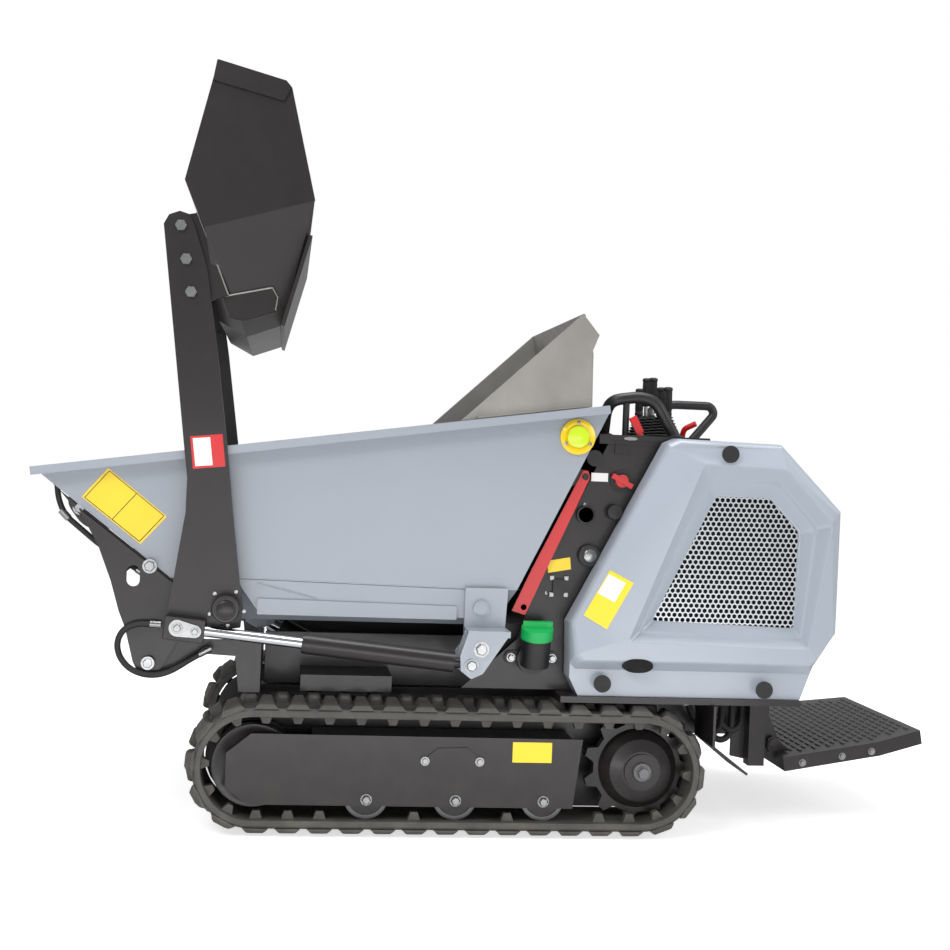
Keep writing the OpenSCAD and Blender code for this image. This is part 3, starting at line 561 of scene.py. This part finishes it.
# ---------- skip: welds, side skirts, decal, reflectors ----------
b = Part()
for pts in ([(-613, -374.2, 566), (-85, -374.2, 556), (28, -374.2, 557)],
            [(-1030, -374.4, 791), (212, -374.4, 971)], [(-566, -379, 558), (-429, -379, 526)]):
    b.tube(pts, 1.8, 8)
b.mirror().make("skip_welds", "blue_grey_paint", "skip", smooth=60)
skirt = Part().prism([(-616, 564), (-85, 554), (-85, 488), (-560, 488)], -378, -373)
skirt.mirror().make("skip_side_skirts", "blue_grey_paint", "skip", bevel=1)


def decal(name, pts, y, finish, body, t=0.5, both_sides=True):
    """A flat sticker t thick, its back at y."""
    p = Part().prism(pts, y, y - t)
    if both_sides:
        p.mirror()
    return p.make(name, finish, body)


SKIP_DECAL = [(-906, 804), (-773, 700), (-829, 636), (-962, 738)]
SKIP_Y, LINE_Y = -374, -374.4
decal("skip_decal", SKIP_DECAL, SKIP_Y, "yellow_reflector", "skip")
frame_line = Part()
inner = scaled(SKIP_DECAL, 0.93, middle(SKIP_DECAL))
across = (lerp_pts(inner[:1], inner[1:2], 0.5)[0], lerp_pts(inner[3:], inner[2:3], 0.5)[0])
for a, c in list(zip(inner, inner[1:] + inner[:1])) + [across]:
    frame_line.tube([(a[0], LINE_Y, a[1]), (c[0], LINE_Y, c[1])], 0.9, 6)
frame_line.mirror().make("skip_decal_lines", "black_plastic", "skip")
LENS_X, LENS_Y, LENS_Z = 158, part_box("skip_reflectors")[0][1] * 1000, 916
SCREW_RING = 33
lens = Part().lathe([(25, -0.5), (25, 1.6), (22, 3), (0, 3.4)], (LENS_X, LENS_Y, LENS_Z),
                    (0, -1, 0), 48)
lens.mirror().make("reflector_lenses", LIME, "skip")
pins = Part()
for a in (90, 210, 330):
    at = (LENS_X + SCREW_RING * math.cos(math.radians(a)), LENS_Y,
          LENS_Z + SCREW_RING * math.sin(math.radians(a)))
    pins.lathe([(4.2, -1), (4.2, 1.5), (2.5, 2.6), (0, 2.8)], at, (0, -1, 0), 16)
pins.mirror().make("reflector_screws", "zinc_plate", "skip")

# ---------- arm stickers ----------
decal("arm_sticker_red", [(-725, 882), (-654, 890), (-645, 818), (-716, 810)], -427.1,
      "red_paint", "arms")
decal("arm_sticker_white", [(-719, 878), (-681, 882), (-673, 820), (-711, 816)], -427.5,
      WHITE, "arms", 0.2)

# ---------- console: bezels, ignition, labels ----------
CONSOLE_Y = -345
ring = Part()
for prof, at in (([(21, 0), (21, 3), (17.5, 4.2), (17.5, 0)], (188, -357, 735)),
                 ([(26, 0), (26, 4), (22.5, 6), (22, 6)], (201, -357, 640)),
                 ([(18, 0), (17, 6), (0, 7)], (255, -365, 744))):
    ring.lathe(prof, at, (0, -1, 0), 44)
ring.make("console_bezels", "black_plastic", smooth=40)
face = Part().lathe([(15, 0), (15, 3), (12.5, 4.5), (0, 4.5)], (201, -362.5, 640),
                    (0, -1, 0), 36)
face.make("ignition_face", "zinc_plate")
decal("console_label", [(200, 814), (240, 814), (240, 834), (200, 834)], CONSOLE_Y, WHITE,
      "root", both_sides=False)
decal("console_decal", [(106, 596), (160, 606), (157, 634), (103, 624)], CONSOLE_Y,
      "yellow_reflector", "root", both_sides=False)


def lay(name, quad, target, finish, body="root", lift=0.7, n=12):
    """A sticker that follows the surface behind it, from its corners seen square from the side."""
    bpy.context.view_layer.update()
    pts = []
    for i in range(n + 1):
        a = lerp_pts([quad[0]], [quad[1]], i / n)[0]
        b = lerp_pts([quad[3]], [quad[2]], i / n)[0]
        for j in range(n + 1):
            x, z = a[0] + (b[0] - a[0]) * j / n, a[1] + (b[1] - a[1]) * j / n
            hit, at, _, _ = target.ray_cast(Vector((x / 1000, -1, z / 1000)), Vector((0, 1, 0)))
            pts.append((x, (at.y * 1000 if hit else HOOD_Y) - lift, z))
    f = [(i * (n + 1) + j, i * (n + 1) + j + 1, (i + 1) * (n + 1) + j + 1, (i + 1) * (n + 1) + j)
         for i in range(n) for j in range(n)]
    return Part().add(pts, f).mirror().make(name, finish, body, smooth=60)


# ---------- hood and track stickers ----------
shell_left = bpy.data.objects["hood_shell_left"]
lay("hood_decal", [(234, 613), (288, 586), (230, 478), (177, 508)], shell_left,
    "yellow_reflector")
lay("hood_decal_panel", [(232, 604), (270, 585), (246, 540), (207, 560)], shell_left, WHITE,
    lift=1.0)
TRACK_COVER_Y = -455
decal("track_decal", [(22, 218), (112, 218), (112, 172), (22, 172)], TRACK_COVER_Y,
      "yellow_reflector", "root")

# ---------- lift cylinders: rod, clevis block with its keeper ----------
LX, LZ, CX, CZ = -82, 392, -737, 459     # rear pin on the skip, front pin on the arm
LIFT_Y = -452.0
LEN = math.dist((LX, LZ), (CX, CZ))
DX, DZ = (CX - LX) / LEN, (CZ - LZ) / LEN
BASE = math.degrees(math.atan2(DZ, DX))
CLEVIS_Y, KEEPER_Y = (-474, -430), -479


def along(d, up=0.0, y=LIFT_Y):
    """A point d along the cylinder from its rear pin, up square to it."""
    return (LX + DX * d + DZ * up, y, LZ + DZ * d - DX * up)


for side, k in SIDES:
    rod, block, keep = Part(), Part(), Part()
    rod.tube([along(LEN - 440), along(LEN - 60)], 12.5, 40)
    block.prism([along(d, up)[::2] for d, up in ((LEN - 61, -26), (LEN + 28, -26),
                                                 (LEN + 28, 25), (LEN - 61, 25))], *CLEVIS_Y)
    a, b = along(LEN - 2, 2), along(LEN - 41, -1)
    pts = []
    for (cx, _, cz), r, start in ((a, 19, 90), (b, 14, 270)):
        for t in range(0, 181, 15):
            w = math.radians(BASE - start + t)
            pts.append((cx + r * math.cos(w), cz + r * math.sin(w)))
    keep.prism(pts, KEEPER_Y, CLEVIS_Y[0])
    keep.bolt(a[0], KEEPER_Y, a[2], 9, 7)
    keep.bolt(b[0], KEEPER_Y, b[2], 7.5, 6)
    for p, name, fin, bev in ((rod, "rod_", "chrome_rod", 0),
                              (block, "rod_clevis_", "black_paint", 2.5),
                              (keep, "rod_keeper_", "zinc_plate", 0.8)):
        p.flip(k).make(name + side, fin, side + "_lift_rod_body", bevel=bev, smooth=40,
                       replaces=[side + "_lift_rod"] if p is rod else [])

# ---------- zinc bolts ----------
TIP_X, TIP_Z = -802, 372
ARM_X, ARM_Z = -632, 504
bolts = Part()
for x in ROLLERS:
    bolts.bolt(x, -457, 84, 9.5, 9)
for x in (-177, -53):
    bolts.bolt(x, -459.5, 173, 7.5, 6)
bolts.bolt(TIP_X, -401, TIP_Z, 11, 6)
for x in (25, 122):
    bolts.bolt(x, -353, 397, 7.5, 9)
bolts.mirror().make("zinc_bolts", "zinc_plate", smooth=30)
b = Part()
b.bolt(-61, -476, 429, 13, 10)
b.bolt(LX, -476, LZ, 12, 9)
b.bolt(-806, -388, 588, 12, 10)
b.mirror().make("skip_bolts", "zinc_plate", "skip", smooth=30)
b = Part().lathe([(19, 0), (19, 9), (14, 10), (14, 3), (0, 3)], (-54, -393, 514), (0, -1, 0), 40)
b.mirror().make("bracket_sockets", "blue_grey_paint", "skip", smooth=35)

# ---------- arm pivot hubs ----------
hub = Part().lathe([(31, 0), (31, 2), (29, 5), (24, 5.5), (23.5, 2), (20, 2), (19.5, 8),
                    (17.5, 9.5), (0, 9.5)], (ARM_X, -464, ARM_Z), (0, -1, 0), 56)
hub.mirror().make("arm_hub_caps", "black_paint", "arms", smooth=40)
HUB_SCREWS, HUB_RING = 5, 40
screw = Part()
for t in range(HUB_SCREWS):
    w = math.radians(60 + t * 72)
    screw.lathe([(5, 0), (5, 3), (3.5, 4)],
                (ARM_X + HUB_RING * math.cos(w), -427, ARM_Z + HUB_RING * math.sin(w)),
                (0, -1, 0), 6)
screw.mirror().make("arm_hub_screws", "zinc_plate", "arms", smooth=30)

# ---------- nose of the skip: pipe, fittings and hanger ears; the prop's bracket ----------
pipe = Part().tube([(-1022, -345, 776), (-1016, -345, 728), (-1000, -345, 694),
                    (-920, -345, 628), (-761, -345, 529)], 6.5, 18, 30)
pipe.mirror().make("nose_pipes", "black_rubber", "skip", smooth=50)
fit = Part()
for a, b in (((-1022, -345, 790), (-1020, -345, 762)), ((-1010, -345, 706), (-992, -345, 687)),
             ((-838, -345, 577), (-812, -345, 561))):
    fit.tube([a, b], 8.6, 18)
fit.mirror().make("nose_pipe_fittings", "zinc_plate", "skip", smooth=50)
ear = Part()
ear.prism(rounded([(-994, 742), (-930, 712), (-898, 668), (-912, 654), (-962, 676),
                   (-992, 716)], 16), -362, -352)
ear.prism([(-1012, 752), (-757, 559), (-745, 545), (-968, 700)], -371, -366)
ear.mirror().make("nose_ears", "black_paint", "skip", bevel=1.2)
prop_ear = Part().prism(rounded([(148, 800), (184, 808), (197, 824), (190, 839), (166, 842)], 8),
                        -350.6, -346)
prop_ear.bolt(184, -356.3, 824, 6, 4)
prop_ear.make("prop_bracket", "black_paint", "skip", bevel=0.6)
b = Part().bolt(-966, -362, 713, 12, 10)
b.mirror().make("nose_ear_bolts", "zinc_plate", "skip", smooth=30)

# ---------- painted shade: a near-black oval that stands for the shade inside the hood's port; side rails of the chassis ---
port_shade = Part().prism(oval(304, 397, 35, 16), -456.2, -436)
port_shade.mirror().make("hood_ports", SHADE_FILL, "root", smooth=40)
rail = Part()
rail.prism([(-545, 302), (60, 302), (60, 330), (20, 425), (-545, 425)], -182, -176)
rail.mirror().make("chassis_side_rails", "black_paint", bevel=1)

# ---------- weld beads on the shovel brackets ----------
bead = Part()
for y, pts in ((-412.6, [(-728, 1381), (-690, 1292), (-653, 1201)]),
               (-401.5, [(-664, 1198), (-556, 1223)]),
               (-401.5, [(-556, 1223), (-543, 1202), (-547, 1172)])):
    bead.tube([(x, y, z) for x, z in pts], 2.2, 8)
bead.mirror().make("bracket_welds", "bare_steel", "arms", smooth=60)

# ---------- small console trim ----------
trim = Part()
trim.prism(oval(289, 917, 16, 4), -355, -352.5)
for x, z in ((115, 546), (149, 546), (149, 585), (115, 585)):
    trim.box((x - 5, -352, z - 5), (x + 5, CONSOLE_Y, z + 5))
for x, z in ((258, 893), (104, 548), (188, 758), (168, 418), (68, 388)):
    trim.lathe([(5, 0), (5, 2), (3, 3.4), (0, 3.6)], (x, CONSOLE_Y, z), (0, -1, 0), 20)
trim.make("console_trim", "zinc_plate", bevel=0.5)

# ---------- hydraulic hoses behind the drive ----------
lines, nuts = Part(), Part()
for i, (x0, dz) in enumerate(((500, 0), (528, -16), (556, 6))):
    a = [(x0 - 30, -262 + 14 * i, 300), (x0 - 10, -268 + 10 * i, 252 + dz),
         (x0 + 26, -272 + 8 * i, 214 + dz), (x0 + 58, -262 + 8 * i, 232 + dz),
         (x0 + 66, -244 + 8 * i, 300)]
    lines.tube(curve_through(a), 8, 16)
    nuts.tube([a[0], (a[0][0] + 3, a[0][1], 280)], 11, 6)
    nuts.tube([(a[-1][0], a[-1][1], 306), (a[-1][0] - 1, a[-1][1], 284)], 11, 6)
lines.mirror().make("drive_hoses", "black_rubber", smooth=50)
nuts.mirror().make("drive_hose_nuts", "zinc_plate", smooth=30)

# ---------- sprocket nuts, step bolts ----------
for side, k in SIDES:
    at = (SX, k * 445, AZ)
    p = Part().lathe([(22, 0), (22, 5), (20, 8), (16, 9), (16, 14), (0, 14)], at, (0, k, 0), 48)
    p.lathe([(14, 9), (14, 24), (12, 26), (0, 26)], at, (0, k, 0), 6)
    p.make("sprocket_nut_" + side, "cast_grey", side + "_sprocket_body", smooth=35)
BOLT_DROP = 20
p = Part()
for u in (60, 160, 235):
    p.bolt(STEP_X + u * STEP_COS + BOLT_DROP * STEP_SIN, -310,
           STEP_Z + u * STEP_SIN - BOLT_DROP * STEP_COS, 6.5, 5)
p.mirror().make("step_bolts", "zinc_plate", "step", smooth=30)

# ---------- studio ----------
FLOOR_GLOW = 0.66                  # the floor's own light, for the camera only
SKY_LIT, SKY_SEEN = 0.43, 1.0      # the background's strength as light, and as seen
scene.view_settings.view_transform = "Standard"
floor = bpy.data.meshes.new("floor")
floor.from_pydata([(-30, -30, 0), (30, -30, 0), (30, 40, 0), (-30, 40, 0)], [], [(0, 1, 2, 3)])
floor_o = bpy.data.objects.new("floor", floor)
scene.collection.objects.link(floor_o)
pale = material("floor", (240, 240, 240), 0.9, mottle=0.002, mottle_scale=2, spec=0.1)
pn, plink = pale.node_tree.nodes, pale.node_tree.links.new
paint = pn["Principled BSDF"]
paint.inputs["Emission Color"].default_value = (1, 1, 1, 1)
glow = pn.new("ShaderNodeMath")
glow.operation = "MULTIPLY"
glow.inputs[1].default_value = FLOOR_GLOW
plink(pn.new("ShaderNodeLightPath").outputs["Is Camera Ray"], glow.inputs[0])
plink(glow.outputs[0], paint.inputs["Emission Strength"])
floor.materials.append(pale)

world = bpy.data.worlds.new("studio")
scene.world = world
world.use_nodes = True
wn, wlink = world.node_tree.nodes, world.node_tree.links.new
sky = wn["Background"]
sky.inputs["Color"].default_value = (1, 1, 1, 1)
seen = wn.new("ShaderNodeLightPath")
level = wn.new("ShaderNodeMapRange")
level.inputs["To Min"].default_value = SKY_LIT
level.inputs["To Max"].default_value = SKY_SEEN
wlink(seen.outputs["Is Camera Ray"], level.inputs["Value"])
wlink(level.outputs["Result"], sky.inputs["Strength"])


def area(name, at, to, size, power):
    light = bpy.data.lights.new(name, "AREA")
    light.shape = "RECTANGLE"
    light.size, light.size_y = size
    light.energy = power
    o = bpy.data.objects.new(name, light)
    o.location = at
    o.rotation_euler = (Vector(to) - Vector(at)).to_track_quat("-Z", "Y").to_euler()
    o.visible_camera = False
    scene.collection.objects.link(o)


area("key", (-2.4, -3.4, 3.4), (0, 0, 0.6), (1.8, 1.4), 66)
area("top", (0.3, -0.4, 4.2), (0, 0, 0), (3.0, 2.2), 125)
area("edge", (3.4, -1.8, 2.0), (0.2, 0, 0.7), (1.0, 2.0), 34)
area("fill", (-0.3, -5.2, 0.5), (0, 0, 0.5), (4.0, 1.0), 26)
area("low", (-0.3, -1.9, 0.1), (-0.3, -0.35, 0.55), (2.6, 0.3), 8)

# ---------- camera ----------
CAM_AT = (-0.51597, -3.9413, 0.86355)
CAM_LENS, CAM_SENSOR = 59.1, 36
yaw, pitch, roll = 0.12208, 0.012442, 0.038395      # radians
F = Vector((math.sin(yaw) * math.cos(pitch), math.cos(yaw) * math.cos(pitch), -math.sin(pitch)))
R0 = Vector((math.cos(yaw), -math.sin(yaw), 0))
U0 = R0.cross(F)
R = R0 * math.cos(roll) + U0 * math.sin(roll)
U = -R0 * math.sin(roll) + U0 * math.cos(roll)
cam = bpy.data.cameras.new("camera")
cam.lens, cam.sensor_width = CAM_LENS, CAM_SENSOR
cam_o = bpy.data.objects.new("camera", cam)
scene.collection.objects.link(cam_o)
m = Matrix((R, U, -F)).transposed().to_4x4()
m.translation = Vector(CAM_AT)
cam_o.matrix_world = m
scene.camera = cam_o
